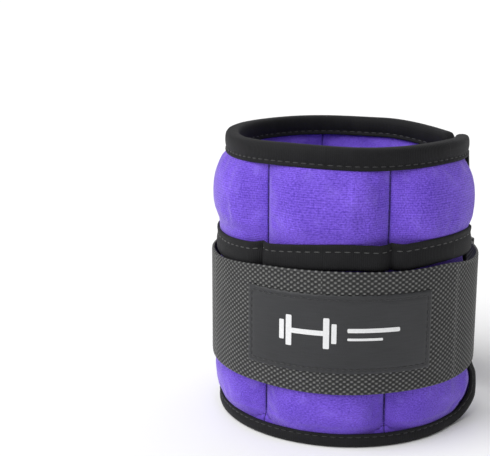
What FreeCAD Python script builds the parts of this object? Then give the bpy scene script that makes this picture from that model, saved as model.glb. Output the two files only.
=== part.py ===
import FreeCAD, Part
import Sketcher
import math
import os

# Ankle cuff weight, standing on its bottom rim.  +Z up, origin under the middle of the
# whole object.  The label faces -Y.  Angles round the cuff are in degrees from the -Y
# direction, counterclockwise seen from above, and pockets run e, d, c, b, a that way.

doc = FreeCAD.newDocument("AnkleCuffWeight")
sheet = doc.addObject("Spreadsheet::Sheet", "Dimensions")

DRIVING_DIMENSIONS = [
    # layout round the leg
    ("cuff_centre_y", -1.9, "cuff axis, so that the object's box is centred on the origin"),
    ("fold_radius", 50.0, "radius of the pocket seams, where the pad folds"),
    ("fold_half_angle", 30.0, "half of the most that one seam folds"),
    ("seam_ab_angle", 20.5, "seam between pockets a and b"),
    ("label_pocket_angle", 58.0, "pocket b lies flatter, so it takes less of the turn"),
    ("pocket_angle", 64.5, "pockets a, c and d"),
    ("last_pocket_angle", 81.5, "pocket e, whose end reaches forward under the strap"),
    ("end_binding_angle", 6.8, "tape over each free end"),
    ("clearance", 0.35, "between pieces that move apart"),
    # rims
    ("cuff_height", 122.5, "table to top rim"),
    ("rim_tape", 0.9, "thickness of the rolled edge tape"),
    ("top_rim_inner", 45.4, "inside of the top binding"),
    ("top_rim_outer", 51.6, "outside of the top binding"),
    ("top_tape_height", 8.7, "how far the top binding comes down"),
    ("bottom_rim_inner", 48.5, "inside of the bottom binding"),
    ("bottom_rim_outer", 54.5, "outside of the bottom binding"),
    ("bottom_tape_height", 5.6, "how far the bottom binding comes up"),
    ("panel_edge", 2.4, "how deep a panel's edge sits under the fold of a tape"),
    # pad walls
    ("lining_inner", 43.5, "leg side of the pad"),
    ("lining_thick", 2.4, "lining wall"),
    ("lining_low", 15.2, "where the lining leaves the bottom rim"),
    ("lining_high", 104.8, "where the lining turns in to the top rim"),
    ("panel_outer", 55.7, "outer face of the lower panel"),
    ("panel_thick", 1.9, "outer panel wall"),
    ("panel_low", 24.0, "lower panel reaches its full girth"),
    ("panel_high", 60.0, "lower panel starts to tuck under the flap"),
    ("tuck_outer", 52.2, "lower panel's outer face under the flap"),
    ("tuck_low", 73.0, "bottom of that tucked stretch"),
    ("tuck_top", 80.5, "upper edge of the lower panel"),
    ("flap_edge_outer", 54.3, "flap's outer face at its lower edge"),
    ("flap_bottom", 76.5, "lower edge of the flap under its hem tape"),
    ("flap_outer", 55.4, "flap's fullest radius"),
    ("flap_full_low", 91.0, "fullest stretch of the flap, lower end"),
    ("flap_full_high", 99.0, "fullest stretch of the flap, upper end"),
    ("flap_shoulder", 107.0, "flap turns in to the rim"),
    # hem tape of the flap
    ("hem_bottom", 74.0, "lower edge of the hem band"),
    ("hem_height", 10.6, "hem band"),
    ("hem_tape", 0.8, "hem band's thickness"),
    # weight bags
    ("bag_inner", 46.3, "leg side of a weight bag"),
    ("bag_outer", 53.4, "outer side of its full part"),
    ("bag_neck_outer", 50.0, "outer side behind the tucked panel"),
    ("bag_bottom", 17.0, "bag's lower edge"),
    ("bag_full_low", 26.0, "bag's full part starts"),
    ("bag_full_high", 52.0, "bag's full part ends"),
    ("bag_neck_low", 58.0, "bag's neck starts"),
    ("bag_top", 98.0, "bag's upper edge"),
    ("bag_margin", 5.2, "angle between a bag and its pocket's seam"),
    ("bag_wall", 0.8, "bag fabric"),
    # webbing and closure
    ("strap_bottom", 24.0, "lower edge of the webbing"),
    ("strap_width", 50.0, "webbing width"),
    ("strap_inner", 56.0, "inner face of the webbing round the pad"),
    ("strap_thick", 1.7, "webbing thickness"),
    ("strap_hinge_angle", 86.9, "where the tongue leaves pocket a"),
    ("tape_end_angle", -134.0, "holding tape's sewn end"),
    ("ring_tongue_angle", 162.4, "ring's bar that the strap turns round"),
    ("ring_held_angle", 180.45, "ring's bar in the holding tape"),
    ("ring_radius", 59.4, "radius of both bars' centres"),
    ("ring_wire", 2.8, "ring wire"),
    ("ring_inner_height", 54.0, "ring's opening, to pass the webbing"),
    ("ring_corner", 2.8, "cut of the ring's corners"),
    ("loop_clearance", 0.15, "round the ring's bars"),
    ("tail_inner", 59.3, "inner face of the strap's tail"),
    ("tail_free_angle", 107.0, "tail's free end"),
    ("tail_root_angle", 160.2, "tail's end next to the ring"),
    ("patch_thick", 0.6, "hook and loop patches"),
    ("hook_end_angle", 140.0, "end of the hook patch"),
    ("label_middle_angle", -2.6, "middle of the label"),
    ("label_half_angle", 38.8, "half of the label's width round the cuff"),
    ("label_bottom", 33.0, "label's lower edge"),
    ("label_height", 32.0, "label"),
    ("label_thick", 0.6, "label patch"),
    # seam beads
    ("seam_bead", 1.3, "radius of the stitched bead that the pad folds about"),
    ("seam_web", 0.9, "thickness of the pinched fabric behind it"),
    ("seam_bottom", 12.5, "seam's lower end, above the lining's bend"),
    ("seam_top", 112.0, "seam's upper end, below the top tape"),
    # small gaps and steps
    ("tape_gap", 0.1, "between a cloth edge and the tape over it"),
    ("wall_bend", 0.4, "height by which a wall's two faces bend apart"),
    ("shoulder_in", 1.3, "how far the flap has drawn in at its shoulder"),
    ("hem_fold", 1.2, "height of the hem tape's fold under the flap"),
    ("bag_chamfer", 1.0, "bag's lower edge is drawn in"),
    ("end_tape_in", 0.6, "end tape's inner face, outside the top binding's"),
    ("hinge_gap_angle", 0.9, "half of the gap where the tongue leaves the pocket"),
    ("tape_joint_angle", 0.3, "half of the gap where holding tape meets webbing"),
    ("patch_margin", 2.0, "webbing left free beside a patch"),
    ("patch_end_angle", 1.0, "tail left free beyond a patch"),
    ("layer_gap", 0.02, "between a patch and its webbing"),
    ("fold_leg", 1.6, "straight run of the strap fold beyond the ring's bar"),
    ("fold_overlap", 0.5, "how far that run reaches into the turn"),
    ("bore_overrun", 1.0, "bar's bore runs past both edges of the webbing"),
    ("loop_closing", 7.5, "length over which the holding tape's layers close"),
    ("lining_margin", 0.3, "between a seam's web and the lining's inner face"),
]

for row, (name, value, meaning) in enumerate(DRIVING_DIMENSIONS, start=1):
    sheet.set(f"A{row}", name)
    sheet.set(f"B{row}", str(value))
    sheet.set(f"C{row}", meaning)
    sheet.setAlias(f"B{row}", name)
doc.recompute()


class Size:
    """A number together with the sheet expression that gives it."""

    def __init__(self, value, text):
        self.value = float(value)
        self.text = text

    @staticmethod
    def of(other):
        return other if isinstance(other, Size) else Size(other, repr(float(other)))

    def combine(self, other, sign, value):
        return Size(value, f"({self.text} {sign} {Size.of(other).text})")

    def __add__(self, other):
        return self.combine(other, "+", self.value + Size.of(other).value)

    def __sub__(self, other):
        return self.combine(other, "-", self.value - Size.of(other).value)

    def __mul__(self, other):
        return self.combine(other, "*", self.value * Size.of(other).value)

    def __truediv__(self, other):
        return self.combine(other, "/", self.value / Size.of(other).value)


def dim(name):
    return Size(sheet.get(name), f"Dimensions.{name}")


ZERO = Size(0, "0")


def origin_plane(body, role):
    return next(f for f in body.Origin.OriginFeatures if f.Role == role)


def outline(body, name, role, points):
    """A closed straight-sided sketch whose corners are bound to the sheet."""
    sketch = body.newObject("Sketcher::SketchObject", name)
    sketch.AttachmentSupport = [(origin_plane(body, role), "")]
    sketch.MapMode = "FlatFace"
    corners = [FreeCAD.Vector(x.value, y.value, 0) for x, y in points]
    count = len(corners)
    for i in range(count):
        sketch.addGeometry(Part.LineSegment(corners[i], corners[(i + 1) % count]), False)
    for i in range(count):
        sketch.addConstraint(Sketcher.Constraint("Coincident", i, 2, (i + 1) % count, 1))
    for i, corner in enumerate(points):
        for kind, axis, size in zip(("DistanceX", "DistanceY"), (-2, -1), corner):
            if size.text == "0":
                sketch.addConstraint(Sketcher.Constraint("PointOnObject", i, 1, axis))
                continue
            index = sketch.addConstraint(Sketcher.Constraint(kind, -1, 1, i, 1, size.value))
            sketch.setExpression(f"Constraints[{index}]", size.text)
    return sketch


parts = []


def keep(feature, label):
    feature.Label = label
    parts.append(feature)
    return feature


def stand(feature, angle, x=ZERO, radius=None):
    """Turn a piece to its angle round the cuff; at a radius, move it out there too."""
    turn = angle - 90
    heading = math.radians(turn.value)
    reach = ZERO if radius is None else radius
    centre = FreeCAD.Vector(
        reach.value * math.cos(heading),
        dim("cuff_centre_y").value + reach.value * math.sin(heading),
        0,
    )
    feature.Placement = FreeCAD.Placement(
        centre, FreeCAD.Rotation(FreeCAD.Vector(0, 0, 1), turn.value)
    )
    feature.setExpression("Placement.Rotation.Angle", f"{turn.text} * 1 deg")
    feature.setExpression(
        "Placement.Base.x", f"{reach.text} * cos({turn.text} * 1 deg) * 1 mm"
    )
    feature.setExpression(
        "Placement.Base.y",
        f"(Dimensions.cuff_centre_y + {reach.text} * sin({turn.text} * 1 deg)) * 1 mm",
    )


def turned(label, points, low, high):
    """A wall of the given (radius, height) section, from angle low to angle high."""
    body = doc.addObject("PartDesign::Body", label)
    section = outline(body, f"{label}_section", "XZ_Plane", points)
    turn = body.newObject("PartDesign::Revolution", f"{label}_turn")
    turn.Profile = section
    turn.ReferenceAxis = (section, ["V_Axis"])
    turn.Midplane = True
    turn.Angle = (high - low).value
    turn.setExpression("Angle", (high - low).text)
    stand(body, (high + low) / 2)
    return keep(body, label)


def band(label, inner, thick, bottom, height, low, high):
    """A plain strip round the cuff."""
    outer = inner + thick
    top = bottom + height
    return turned(label, [(inner, bottom), (outer, bottom), (outer, top), (inner, top)], low, high)


def fold_gap(outer):
    """Angle that a piece of this outer radius leaves free beside a seam, so that
    its neighbour can fold towards it."""
    slope = math.tan(math.radians(dim("fold_half_angle").value))
    reach = (outer - dim("fold_radius")) * slope + dim("clearance")
    return reach / outer * math.degrees(1)


# Angles of the seams and free ends, and each pocket's two sides.
seam_ab = dim("seam_ab_angle")
seam_bc = seam_ab - dim("label_pocket_angle")
seam_cd = seam_bc - dim("pocket_angle")
seam_de = seam_cd - dim("pocket_angle")
end_a = seam_ab + dim("pocket_angle")
end_e = seam_de - dim("last_pocket_angle")

POCKETS = {
    "a": (seam_ab, end_a),
    "b": (seam_bc, seam_ab),
    "c": (seam_cd, seam_bc),
    "d": (seam_de, seam_cd),
    "e": (end_e, seam_de),
}


def sides(pocket, gap, end_gap):
    """The two sides of a piece in a pocket, leaving gap at seams and end_gap at a free end."""
    low, high = POCKETS[pocket]
    return low + (end_gap if pocket == "e" else gap), high - (end_gap if pocket == "a" else gap)


def lining_section():
    inner = dim("lining_inner")
    outer = inner + dim("lining_thick")
    foot = dim("panel_edge")
    head = dim("cuff_height") - dim("panel_edge")
    rim_wall = dim("panel_thick")
    low_in = dim("bottom_rim_inner") + dim("rim_tape") + dim("tape_gap")
    high_in = dim("top_rim_inner") + dim("rim_tape") + dim("tape_gap") * 2
    low_bend = dim("bottom_tape_height") + dim("wall_bend")
    high_bend = dim("cuff_height") - dim("top_tape_height")
    return [
        (low_in, foot),
        (low_in + rim_wall, foot),
        (low_in + rim_wall, low_bend + dim("wall_bend")),
        (outer, dim("lining_low")),
        (outer, dim("lining_high")),
        (high_in + rim_wall, high_bend),
        (high_in + rim_wall, head),
        (high_in, head),
        (high_in, high_bend + dim("wall_bend")),
        (inner, dim("lining_high")),
        (inner, dim("lining_low")),
        (low_in, low_bend),
    ]


def lower_panel_section():
    outer = dim("panel_outer")
    thick = dim("panel_thick")
    tuck = dim("tuck_outer")
    foot_outer = dim("bottom_rim_outer") - dim("rim_tape") - dim("tape_gap")
    foot_bend = dim("bottom_tape_height") + dim("wall_bend")
    return [
        (foot_outer, dim("panel_edge")),
        (foot_outer, foot_bend),
        (outer, dim("panel_low")),
        (outer, dim("panel_high")),
        (tuck, dim("tuck_low")),
        (tuck, dim("tuck_top")),
        (tuck - thick, dim("tuck_top")),
        (tuck - thick, dim("tuck_low") - dim("wall_bend")),
        (outer - thick, dim("panel_high") - dim("wall_bend")),
        (outer - thick, dim("panel_low") + dim("wall_bend")),
        (foot_outer - thick, foot_bend + dim("wall_bend")),
        (foot_outer - thick, dim("panel_edge")),
    ]


def upper_panel_section():
    thick = dim("panel_thick") - dim("tape_gap")
    edge = dim("flap_edge_outer")
    full = dim("flap_outer")
    shoulder = full - dim("shoulder_in")
    rim = dim("top_rim_outer") - dim("rim_tape") - dim("tape_gap") * 2
    bend = dim("cuff_height") - dim("top_tape_height")
    head = dim("cuff_height") - dim("panel_edge")
    return [
        (edge, dim("flap_bottom")),
        (edge, dim("hem_bottom") + dim("hem_height")),
        (full, dim("flap_full_low")),
        (full, dim("flap_full_high")),
        (shoulder, dim("flap_shoulder")),
        (rim, bend),
        (rim, head),
        (rim - thick, head),
        (rim - thick, bend - dim("wall_bend") * 1.5),
        (shoulder - thick, dim("flap_shoulder") - dim("wall_bend")),
        (full - thick, dim("flap_full_high")),
        (full - thick, dim("flap_full_low") + dim("wall_bend")),
        (edge - thick, dim("hem_bottom") + dim("hem_height")),
        (edge - thick, dim("flap_bottom")),
    ]


def hem_section():
    """The tape wraps the flap's lower edge: an outer face and the fold under it."""
    inner = dim("flap_edge_outer") - dim("panel_thick") + dim("tape_gap")
    face = dim("flap_edge_outer") + dim("tape_gap")
    outer = face + dim("hem_tape")
    bottom = dim("hem_bottom")
    fold_top = bottom + dim("hem_fold")
    top = bottom + dim("hem_height")
    return [(inner, bottom), (outer, bottom), (outer, top), (face, top), (face, fold_top), (inner, fold_top)]


def rim_tape_section(inner, outer, edge, lip, fold):
    """A rim tape: two legs and the fold over the pad's edge, edge being its outermost height."""
    tape = dim("rim_tape")
    return [
        (inner, lip),
        (inner, edge),
        (outer, edge),
        (outer, lip),
        (outer - tape, lip),
        (outer - tape, fold),
        (inner + tape, fold),
        (inner + tape, lip),
    ]


def bag_section(inset):
    inner = dim("bag_inner") + inset
    outer = dim("bag_outer") - inset
    neck = dim("bag_neck_outer") - inset
    return [
        (inner, dim("bag_bottom") + inset),
        (outer - dim("bag_chamfer"), dim("bag_bottom") + inset),
        (outer, dim("bag_full_low")),
        (outer, dim("bag_full_high") - inset / 2),
        (neck, dim("bag_neck_low") - inset / 2),
        (neck, dim("bag_top") - inset),
        (inner, dim("bag_top") - inset),
    ]


def weight_bag(pocket):
    """A closed fabric shell, and the iron sand that fills it."""
    low, high = sides(pocket, dim("bag_margin"), dim("bag_margin") + dim("end_binding_angle"))
    bag = turned(f"weight_bag_{pocket}", bag_section(ZERO), low, high)
    hollow_section = outline(bag, f"bag_hollow_section_{pocket}", "XZ_Plane", bag_section(dim("bag_wall")))
    hollow = bag.newObject("PartDesign::Groove", f"bag_hollow_{pocket}")
    hollow.Profile = hollow_section
    hollow.ReferenceAxis = (hollow_section, ["V_Axis"])
    hollow.Midplane = True
    wall_angle = dim("bag_wall") / dim("bag_inner") * math.degrees(1)
    sweep = high - low - wall_angle * 2
    hollow.Angle = sweep.value
    hollow.setExpression("Angle", sweep.text)
    sand_gap = wall_angle + dim("tape_gap") * 1.5
    sand = bag_section(dim("bag_wall") + dim("tape_gap"))
    turned(f"iron_sand_{pocket}", sand, low + sand_gap, high - sand_gap)


for pocket in POCKETS:
    ends = dim("end_binding_angle") + dim("tape_gap") * 2
    lining_gap = fold_gap(dim("fold_radius") + dim("seam_bead") + dim("tape_gap"))
    turned(f"lining_{pocket}", lining_section(), *sides(pocket, lining_gap, ends))
    panel_gap = fold_gap(dim("panel_outer"))
    turned(f"lower_panel_{pocket}", lower_panel_section(), *sides(pocket, panel_gap, ends))
    turned(f"upper_panel_{pocket}", upper_panel_section(), *sides(pocket, panel_gap, ends))
    turned(f"hem_band_{pocket}", hem_section(), *sides(pocket, panel_gap, ends))
    turned(
        f"top_binding_{pocket}",
        rim_tape_section(
            dim("top_rim_inner"),
            dim("top_rim_outer"),
            dim("cuff_height"),
            dim("cuff_height") - dim("top_tape_height"),
            dim("cuff_height") - dim("panel_edge") + dim("tape_gap"),
        ),
        *sides(pocket, fold_gap(dim("top_rim_outer")), ZERO),
    )
    turned(
        f"bottom_binding_{pocket}",
        rim_tape_section(
            dim("bottom_rim_inner"),
            dim("bottom_rim_outer"),
            ZERO,
            dim("bottom_tape_height"),
            dim("panel_edge") - dim("tape_gap"),
        ),
        *sides(pocket, fold_gap(dim("bottom_rim_outer")), ZERO),
    )
    weight_bag(pocket)

# The tape up each free end, between the two rims.
end_height = dim("cuff_height") - dim("top_tape_height") - dim("bottom_tape_height") - dim("tape_gap") * 2
for label, low, high in (
    ("end_binding_a", end_a - dim("end_binding_angle"), end_a),
    ("end_binding_e", end_e, end_e + dim("end_binding_angle")),
):
    band(
        label,
        dim("top_rim_inner") + dim("end_tape_in"),
        dim("top_rim_outer") - dim("top_rim_inner"),
        dim("bottom_tape_height") + dim("tape_gap"),
        end_height,
        low,
        high,
    )

# Webbing round the pad, one run per pocket.
strap_outer = dim("strap_inner") + dim("strap_thick")
strap_gap = fold_gap(strap_outer + dim("label_thick"))
strap_size = (dim("strap_inner"), dim("strap_thick"), dim("strap_bottom"), dim("strap_width"))
band("webbing_a", *strap_size, seam_ab + strap_gap, dim("strap_hinge_angle") - dim("hinge_gap_angle"))
band("webbing_b", *strap_size, seam_bc + strap_gap, seam_ab - strap_gap)
band("webbing_c", *strap_size, seam_cd + strap_gap, seam_bc - strap_gap)
band("webbing_d", *strap_size, dim("tape_end_angle") + dim("tape_joint_angle"), seam_cd - strap_gap)
band("holding_tape_d", *strap_size, seam_de + strap_gap, dim("tape_end_angle") - dim("tape_joint_angle"))
band(
    "strap_tongue",
    *strap_size,
    dim("strap_hinge_angle") + dim("hinge_gap_angle"),
    dim("ring_tongue_angle") - dim("tape_gap"),
)

band(
    "label",
    strap_outer + dim("layer_gap") * 2.5,
    dim("label_thick"),
    dim("label_bottom"),
    dim("label_height"),
    dim("label_middle_angle") - dim("label_half_angle"),
    dim("label_middle_angle") + dim("label_half_angle"),
)
band(
    "loop_patch",
    strap_outer + dim("layer_gap"),
    dim("patch_thick"),
    dim("strap_bottom") + dim("patch_margin"),
    dim("strap_width") - dim("patch_margin") * 2,
    dim("tail_free_angle") + dim("patch_end_angle"),
    dim("tail_root_angle") - dim("patch_end_angle"),
)
band(
    "strap_tail",
    dim("tail_inner"),
    dim("strap_thick"),
    dim("strap_bottom"),
    dim("strap_width"),
    dim("tail_free_angle"),
    dim("tail_root_angle"),
)
band(
    "hook_patch",
    dim("tail_inner") - dim("patch_thick") - dim("layer_gap"),
    dim("patch_thick"),
    dim("strap_bottom") + dim("patch_margin"),
    dim("strap_width") - dim("patch_margin") * 2,
    dim("tail_free_angle") + dim("patch_end_angle"),
    dim("hook_end_angle"),
)


def bound(feature, **sizes):
    for name, size in sizes.items():
        setattr(feature, name, size.value)
        feature.setExpression(name, size.text)
    return feature


def upright_cylinder(name, radius, bottom, height, angle=360):
    """A cylinder, or a slice of one, about the local Z axis."""
    cylinder = doc.addObject("Part::Cylinder", name)
    cylinder.Angle = angle
    cylinder.Placement.Base.z = bottom.value
    cylinder.setExpression("Placement.Base.z", f"{bottom.text} * 1 mm")
    return bound(cylinder, Radius=radius, Height=height)


def upright_box(name, x, y, bottom, length, width, height):
    box = doc.addObject("Part::Box", name)
    box.Placement.Base = FreeCAD.Vector(x.value, y.value, bottom.value)
    for axis, size in zip("xyz", (x, y, bottom)):
        box.setExpression(f"Placement.Base.{axis}", f"{size.text} * 1 mm")
    return bound(box, Length=length, Width=width, Height=height)


def boolean(kind, name, **inputs):
    feature = doc.addObject(kind, name)
    for slot, value in inputs.items():
        setattr(feature, slot, value)
    return feature


# Strap fold: the webbing's turn round the ring's bar.  Locally +X points away from the
# leg and +Y round the cuff, away from the tail.
bar_hole = dim("ring_wire") / 2 + dim("loop_clearance")
fold_outer = bar_hole + dim("strap_thick")
bore_bottom = dim("strap_bottom") - dim("bore_overrun")
bore_height = dim("strap_width") + dim("bore_overrun") * 2
turn_round = upright_cylinder("fold_round", fold_outer, dim("strap_bottom"), dim("strap_width"), 180)
leg_reach = dim("fold_leg")
leg = upright_box(
    "fold_leg",
    bar_hole,
    ZERO - leg_reach,
    dim("strap_bottom"),
    dim("strap_thick"),
    leg_reach + dim("fold_overlap"),
    dim("strap_width"),
)
fold_blank = boolean("Part::MultiFuse", "fold_blank", Shapes=[turn_round, leg])
fold_bore = upright_cylinder("fold_bore", bar_hole, bore_bottom, bore_height)
strap_fold = boolean("Part::Cut", "strap_fold", Base=fold_blank, Tool=fold_bore)
stand(strap_fold, dim("ring_tongue_angle"), radius=dim("ring_radius"))
keep(strap_fold, "strap_fold")

# Holding tape on pocket e: a loop round the ring's other bar whose two layers close
# down to the pad before the seam.
loop_round = upright_cylinder("loop_round", fold_outer, dim("strap_bottom"), dim("strap_width"), 180)
loop_round.Placement.Rotation = FreeCAD.Rotation(FreeCAD.Vector(0, 0, 1), 180)
closing = doc.addObject("PartDesign::Body", "loop_closing")
closing_length = dim("loop_closing")
closing_section = outline(
    closing,
    "loop_closing_section",
    "XY_Plane",
    [
        (ZERO - fold_outer, ZERO),
        (fold_outer, ZERO),
        (dim("strap_thick") - fold_outer, closing_length),
        (ZERO - fold_outer, closing_length),
    ],
)
closing_pad = closing.newObject("PartDesign::Pad", "loop_closing_pad")
closing_pad.Profile = closing_section
closing_pad.Length = dim("strap_width").value
closing_pad.setExpression("Length", dim("strap_width").text)
closing.Placement.Base.z = dim("strap_bottom").value
closing.setExpression("Placement.Base.z", f"{dim('strap_bottom').text} * 1 mm")
loop_blank = boolean("Part::MultiFuse", "loop_blank", Shapes=[loop_round, closing])
loop_bore = upright_cylinder("loop_bore", bar_hole, bore_bottom, bore_height)
holding_tape_e = boolean("Part::Cut", "holding_tape_e", Base=loop_blank, Tool=loop_bore)
stand(holding_tape_e, dim("ring_held_angle"), radius=dim("ring_radius"))
keep(holding_tape_e, "holding_tape_e")

# Ring: round wire swept along a rectangle with cut corners, in the plane of its two bars.
ring = doc.addObject("PartDesign::Body", "ring")
bars_apart = math.radians(dim("ring_held_angle").value - dim("ring_tongue_angle").value)
half_width = dim("ring_radius") * math.sin(bars_apart / 2)
half_height = (dim("ring_inner_height") + dim("ring_wire")) / 2
cut = dim("ring_corner")
ring_path = outline(
    ring,
    "ring_path",
    "YZ_Plane",
    [
        (half_width, ZERO),
        (half_width, half_height - cut),
        (half_width - cut, half_height),
        (cut - half_width, half_height),
        (ZERO - half_width, half_height - cut),
        (ZERO - half_width, cut - half_height),
        (cut - half_width, ZERO - half_height),
        (half_width - cut, ZERO - half_height),
        (half_width, cut - half_height),
    ],
)
ring_wire = ring.newObject("Sketcher::SketchObject", "ring_wire_section")
ring_wire.AttachmentSupport = [(origin_plane(ring, "XY_Plane"), "")]
ring_wire.MapMode = "FlatFace"
ring_wire.addGeometry(
    Part.Circle(FreeCAD.Vector(0, half_width.value, 0), FreeCAD.Vector(0, 0, 1), dim("ring_wire").value / 2)
)
ring_wire.addConstraint(Sketcher.Constraint("PointOnObject", 0, 3, -2))
wire_place = ring_wire.addConstraint(Sketcher.Constraint("DistanceY", -1, 1, 0, 3, half_width.value))
ring_wire.setExpression(f"Constraints[{wire_place}]", half_width.text)
wire_size = ring_wire.addConstraint(Sketcher.Constraint("Radius", 0, dim("ring_wire").value / 2))
ring_wire.setExpression(f"Constraints[{wire_size}]", "Dimensions.ring_wire / 2")
ring_pipe = ring.newObject("PartDesign::AdditivePipe", "ring_pipe")
ring_pipe.Profile = ring_wire
ring_pipe.Spine = (ring_path, [])
ring_pipe.Transition = "Round corner"
stand(
    ring,
    (dim("ring_tongue_angle") + dim("ring_held_angle")) / 2,
    radius=dim("ring_radius") * math.cos(bars_apart / 2),
)
ring.Placement.Base.z = dim("strap_bottom").value + dim("strap_width").value / 2
ring.setExpression("Placement.Base.z", "(Dimensions.strap_bottom + Dimensions.strap_width / 2) * 1 mm")
keep(ring, "ring")

# Pocket seams: a stitched bead on each fold line, with the pinched fabric behind it.
seam_height = dim("seam_top") - dim("seam_bottom")
web_inner = dim("lining_inner") + dim("lining_margin")
for pair, angle in (("ab", seam_ab), ("bc", seam_bc), ("cd", seam_cd), ("de", seam_de)):
    bead = upright_cylinder(f"bead_{pair}", dim("seam_bead"), dim("seam_bottom"), seam_height)
    web = upright_box(
        f"web_{pair}",
        web_inner - dim("fold_radius"),
        ZERO - dim("seam_web") / 2,
        dim("lining_low"),
        dim("fold_radius") - web_inner,
        dim("seam_web"),
        dim("lining_high") - dim("lining_low"),
    )
    seam = boolean("Part::MultiFuse", f"seam_{pair}", Shapes=[bead, web])
    stand(seam, angle, radius=dim("fold_radius"))
    keep(seam, f"seam_{pair}")

doc.recompute()

for feature in doc.Objects:
    faults = [word for word in feature.State if word in ("Invalid", "Error")]
    if faults:
        raise RuntimeError(f"{feature.Label}: {faults}")
for piece in parts:
    if piece.Shape.isNull() or not piece.Shape.isValid() or len(piece.Shape.Solids) != 1:
        raise RuntimeError(f"{piece.Label} has no single valid solid")
for pocket in POCKETS:
    shell = doc.getObject(f"weight_bag_{pocket}").Shape
    if len(shell.Shells) != 2:
        raise RuntimeError(f"weight_bag_{pocket} is not hollow")

os.makedirs("parts", exist_ok=True)
for piece in parts:
    piece.Shape.exportStep(os.path.join("parts", f"{piece.Label}.step"))
print(len(parts), "parts written")
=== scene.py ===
import math

import bpy
import numpy as np
from mathutils import Euler, Matrix, Vector


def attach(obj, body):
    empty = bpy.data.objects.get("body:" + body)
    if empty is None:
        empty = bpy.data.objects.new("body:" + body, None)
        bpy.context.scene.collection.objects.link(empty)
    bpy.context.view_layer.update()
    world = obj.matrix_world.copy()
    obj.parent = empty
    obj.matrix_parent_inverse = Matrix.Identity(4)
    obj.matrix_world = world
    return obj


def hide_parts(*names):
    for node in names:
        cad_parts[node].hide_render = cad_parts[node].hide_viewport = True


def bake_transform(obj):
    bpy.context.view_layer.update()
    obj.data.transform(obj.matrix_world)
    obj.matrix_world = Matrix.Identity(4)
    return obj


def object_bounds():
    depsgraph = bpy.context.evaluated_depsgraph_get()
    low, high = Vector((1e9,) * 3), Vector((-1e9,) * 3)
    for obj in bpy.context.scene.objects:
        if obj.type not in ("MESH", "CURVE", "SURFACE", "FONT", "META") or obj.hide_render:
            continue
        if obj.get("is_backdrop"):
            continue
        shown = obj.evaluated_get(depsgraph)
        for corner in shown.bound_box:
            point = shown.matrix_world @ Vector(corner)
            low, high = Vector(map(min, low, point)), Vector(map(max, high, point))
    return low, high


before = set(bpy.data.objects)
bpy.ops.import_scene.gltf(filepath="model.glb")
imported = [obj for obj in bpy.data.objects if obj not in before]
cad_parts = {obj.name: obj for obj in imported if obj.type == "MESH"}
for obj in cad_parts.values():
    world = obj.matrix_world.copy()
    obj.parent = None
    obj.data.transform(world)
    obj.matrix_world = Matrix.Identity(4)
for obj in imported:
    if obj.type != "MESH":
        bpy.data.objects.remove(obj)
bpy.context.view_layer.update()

# Ankle cuff weight: five padded pockets of purple jersey, bound with black tape, with a
# webbing strap, a wire ring and a sewn label.  Lengths below are in millimetres and become
# metres where points are placed.  Angles run round the cuff from the label's side,
# counterclockwise seen from above.

MM = 0.001
AXIS_Y = -1.9
SEAMS = {"ab": 20.5, "bc": -37.5, "cd": -102.0, "de": -166.5}
END_A, END_E = 85.0, -248.0
POCKETS = {
    "a": (SEAMS["ab"], END_A),
    "b": (SEAMS["bc"], SEAMS["ab"]),
    "c": (SEAMS["cd"], SEAMS["bc"]),
    "d": (SEAMS["de"], SEAMS["cd"]),
    "e": (END_E, SEAMS["de"]),
}
MIDDLE = {name: (low + high) / 2 for name, (low, high) in POCKETS.items()}
# The pocket on a seam's low side and the one on its high side, and the one its thread is sewn to.
PAIRS = {"ab": ("b", "a"), "bc": ("c", "b"), "cd": ("d", "c"), "de": ("e", "d")}
SEWN_TO = {"ab": "b", "bc": "c", "cd": "c", "de": "d"}
FOLD_RADIUS = 50.0
CUFF_HEIGHT = 122.5
STRAP_LOW, STRAP_HIGH = 24.0, 74.0
STRAP_HINGE = 86.9
RING_RADIUS, RING_TONGUE, RING_HELD = 59.4, 162.4, 180.45
# Radii at which lengths round the cuff are taken: the outer pad, its trimmed edge, the binding,
# the top rim, the hem and the label.
PAD_ARC, EDGE_ARC, BINDING_ARC, RIM_ARC, HEM_ARC, LABEL_ARC = 54, 52.0, 51.5, 48.5, 55, 58
PER_DEGREE = math.radians(1)
SHEET_THICK = 0.45
CREASE_ANGLE = math.radians(55)


# ---------------------------------------------------------------- placing and shaping

def around(angle, radius, height):
    """Points in metres from an angle round the cuff, a radius and a height."""
    turn = np.radians(angle)
    parts = np.broadcast_arrays(radius * np.sin(turn), AXIS_Y - radius * np.cos(turn), height)
    return np.stack(parts, -1) * MM


def ease(x):
    x = np.clip(x, 0, 1)
    return x * x * (3 - 2 * x)


def only(piece):
    bpy.ops.object.select_all(action="DESELECT")
    piece.select_set(True)
    bpy.context.view_layer.objects.active = piece


def apply_modifier(piece, kind, **settings):
    only(piece)
    modifier = piece.modifiers.new(kind.title(), kind)
    for key, value in settings.items():
        setattr(modifier, key, value)
    bpy.ops.object.modifier_apply(modifier=modifier.name)


def in_edit(piece, *steps):
    """Runs edit-mode steps on a piece with everything selected."""
    only(piece)
    bpy.ops.object.mode_set(mode="EDIT")
    bpy.ops.mesh.select_all(action="SELECT")
    for step, settings in steps:
        step(**settings)
    bpy.ops.object.mode_set(mode="OBJECT")


def points_of(piece):
    flat = np.empty(len(piece.data.vertices) * 3)
    piece.data.vertices.foreach_get("co", flat)
    return flat.reshape(-1, 3)


def set_points(piece, points):
    piece.data.vertices.foreach_set("co", np.asarray(points, float).ravel())
    piece.data.update()


def uv_of(piece):
    layer = piece.data.uv_layers.active.data
    flat = np.empty(len(layer) * 2)
    layer.foreach_get("uv", flat)
    return flat.reshape(-1, 2)


def set_uv(piece, uv):
    piece.data.uv_layers.active.data.foreach_set("uv", uv.ravel())


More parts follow.
